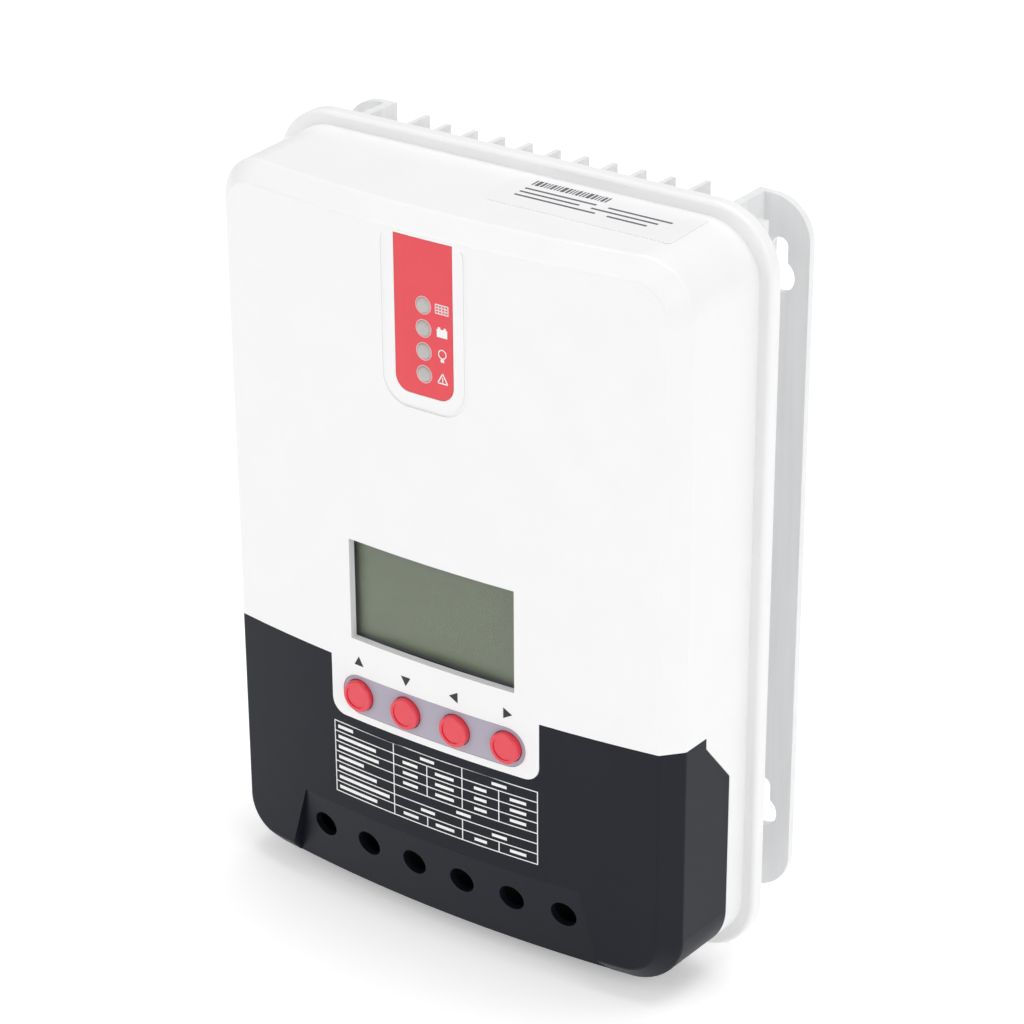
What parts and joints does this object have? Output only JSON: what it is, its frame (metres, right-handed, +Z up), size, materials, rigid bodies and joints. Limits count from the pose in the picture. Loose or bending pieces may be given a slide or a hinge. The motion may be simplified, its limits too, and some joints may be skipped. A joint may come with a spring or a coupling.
{
  "type": "solar charge controller",
  "caption": "Wall-mounted solar charge controller with finned heat sink, display, keys and screw terminals.",
  "frame": {"origin": "centre of the keyhole pattern on the wall plane", "axes": "+X right seen from the front, +Z up, front faces -Y"},
  "size_m": [0.173, 0.0742, 0.238],
  "materials": {
    "white_casing": "satin moulded plastic",
    "dark_casing": "satin moulded plastic",
    "sink_coating": "light coat on extruded aluminium",
    "zinc_steel": "zinc plated",
    "red_label": "gloss film",
    "circuit_board": "solder mask",
    "clear_lens": "clear",
    "lcd_glass": "grey-green display",
    "black_plastic": "moulded",
    "white_plastic": "moulded",
    "grey_plate": "moulded",
    "tinned_brass": "plated",
    "capacitor_sleeve": "shrink sleeve",
    "copper_winding": "enamelled wire",
    "fuse_body": "moulded",
    "silicone_pad": "matte",
    "ribbon": "flat cable",
    "label_film": "printed film",
    "red_key": "gloss moulded",
    "led_guide": "clear light guide"
  },
  "bodies": {
    "housing": {"front_cover": "white_casing", "terminal_cover": "dark_casing", "heat_sink": "sink_coating", "cover_screws": "zinc_steel", "indicator_label": "red_label", "indicator_board": "circuit_board", "lcd_lens": "clear_lens", "lcd_panel": "lcd_glass", "lcd_frame": "black_plastic", "lcd_backlight": "white_plastic", "display_board": "circuit_board", "keypad_plate": "grey_plate", "switch_bodies": "black_plastic", "terminal_block": "black_plastic", "terminal_busbars": "tinned_brass", "main_board": "circuit_board", "board_standoffs": "tinned_brass", "board_screws": "zinc_steel", "capacitors": "capacitor_sleeve", "inductors": "copper_winding", "fuses": "fuse_body", "thermal_pad": "silicone_pad", "mosfets": "black_plastic", "mosfet_clamp_bar": "zinc_steel", "ribbon_cable": "ribbon", "rating_label": "label_film", "led_solar": "led_guide", "led_battery": "led_guide", "led_load": "led_guide", "led_fault": "led_guide"},
    "key_up": {"key_up": "red_key", "switch_plunger_up": "white_plastic"},
    "key_down": {"key_down": "red_key", "switch_plunger_down": "white_plastic"},
    "key_left": {"key_left": "red_key", "switch_plunger_left": "white_plastic"},
    "key_right": {"key_right": "red_key", "switch_plunger_right": "white_plastic"},
    "screw_1": {"terminal_screw_1": "zinc_steel"},
    "cage_1": {"clamp_cage_1": "tinned_brass"},
    "screw_2": {"terminal_screw_2": "zinc_steel"},
    "cage_2": {"clamp_cage_2": "tinned_brass"},
    "screw_3": {"terminal_screw_3": "zinc_steel"},
    "cage_3": {"clamp_cage_3": "tinned_brass"},
    "screw_4": {"terminal_screw_4": "zinc_steel"},
    "cage_4": {"clamp_cage_4": "tinned_brass"},
    "screw_5": {"terminal_screw_5": "zinc_steel"},
    "cage_5": {"clamp_cage_5": "tinned_brass"},
    "screw_6": {"terminal_screw_6": "zinc_steel"},
    "cage_6": {"clamp_cage_6": "tinned_brass"}
  },
  "joints": [
    {"name": "key_up_press", "type": "slide", "parent": "housing", "child": "key_up", "axis": [0, 1, 0], "range_m": [0, 0.0005], "stiffness_N_per_m": 800, "springref_m": -0.0005},
    {"name": "key_down_press", "type": "slide", "parent": "housing", "child": "key_down", "axis": [0, 1, 0], "range_m": [0, 0.0005], "stiffness_N_per_m": 800, "springref_m": -0.0005},
    {"name": "key_left_press", "type": "slide", "parent": "housing", "child": "key_left", "axis": [0, 1, 0], "range_m": [0, 0.0005], "stiffness_N_per_m": 800, "springref_m": -0.0005},
    {"name": "key_right_press", "type": "slide", "parent": "housing", "child": "key_right", "axis": [0, 1, 0], "range_m": [0, 0.0005], "stiffness_N_per_m": 800, "springref_m": -0.0005},
    {"name": "terminal_screw_1_turn", "type": "hinge", "parent": "housing", "child": "screw_1", "pos_m": [-0.04475, -0.055, -0.1004], "axis": [0, 1, 0], "range_deg": [0, 1440.1]},
    {"name": "clamp_cage_1_lift", "type": "slide", "parent": "housing", "child": "cage_1", "axis": [0, -1, 0], "range_m": [0, 0.0032]},
    {"name": "terminal_screw_2_turn", "type": "hinge", "parent": "housing", "child": "screw_2", "pos_m": [-0.02685, -0.055, -0.1004], "axis": [0, 1, 0], "range_deg": [0, 1440.1]},
    {"name": "clamp_cage_2_lift", "type": "slide", "parent": "housing", "child": "cage_2", "axis": [0, -1, 0], "range_m": [0, 0.0032]},
    {"name": "terminal_screw_3_turn", "type": "hinge", "parent": "housing", "child": "screw_3", "pos_m": [-0.00895, -0.055, -0.1004], "axis": [0, 1, 0], "range_deg": [0, 1440.1]},
    {"name": "clamp_cage_3_lift", "type": "slide", "parent": "housing", "child": "cage_3", "axis": [0, -1, 0], "range_m": [0, 0.0032]},
    {"name": "terminal_screw_4_turn", "type": "hinge", "parent": "housing", "child": "screw_4", "pos_m": [0.00895, -0.055, -0.1004], "axis": [0, 1, 0], "range_deg": [0, 1440.1]},
    {"name": "clamp_cage_4_lift", "type": "slide", "parent": "housing", "child": "cage_4", "axis": [0, -1, 0], "range_m": [0, 0.0032]},
    {"name": "terminal_screw_5_turn", "type": "hinge", "parent": "housing", "child": "screw_5", "pos_m": [0.02685, -0.055, -0.1004], "axis": [0, 1, 0], "range_deg": [0, 1440.1]},
    {"name": "clamp_cage_5_lift", "type": "slide", "parent": "housing", "child": "cage_5", "axis": [0, -1, 0], "range_m": [0, 0.0032]},
    {"name": "terminal_screw_6_turn", "type": "hinge", "parent": "housing", "child": "screw_6", "pos_m": [0.04475, -0.055, -0.1004], "axis": [0, 1, 0], "range_deg": [0, 1440.1]},
    {"name": "clamp_cage_6_lift", "type": "slide", "parent": "housing", "child": "cage_6", "axis": [0, -1, 0], "range_m": [0, 0.0032]}
  ],
  "couplings": [
    {"joint": "terminal_screw_1_turn", "follows": "clamp_cage_1_lift", "rad_per_m": 7854},
    {"joint": "terminal_screw_2_turn", "follows": "clamp_cage_2_lift", "rad_per_m": 7854},
    {"joint": "terminal_screw_3_turn", "follows": "clamp_cage_3_lift", "rad_per_m": 7854},
    {"joint": "terminal_screw_4_turn", "follows": "clamp_cage_4_lift", "rad_per_m": 7854},
    {"joint": "terminal_screw_5_turn", "follows": "clamp_cage_5_lift", "rad_per_m": 7854},
    {"joint": "terminal_screw_6_turn", "follows": "clamp_cage_6_lift", "rad_per_m": 7854}
  ]
}
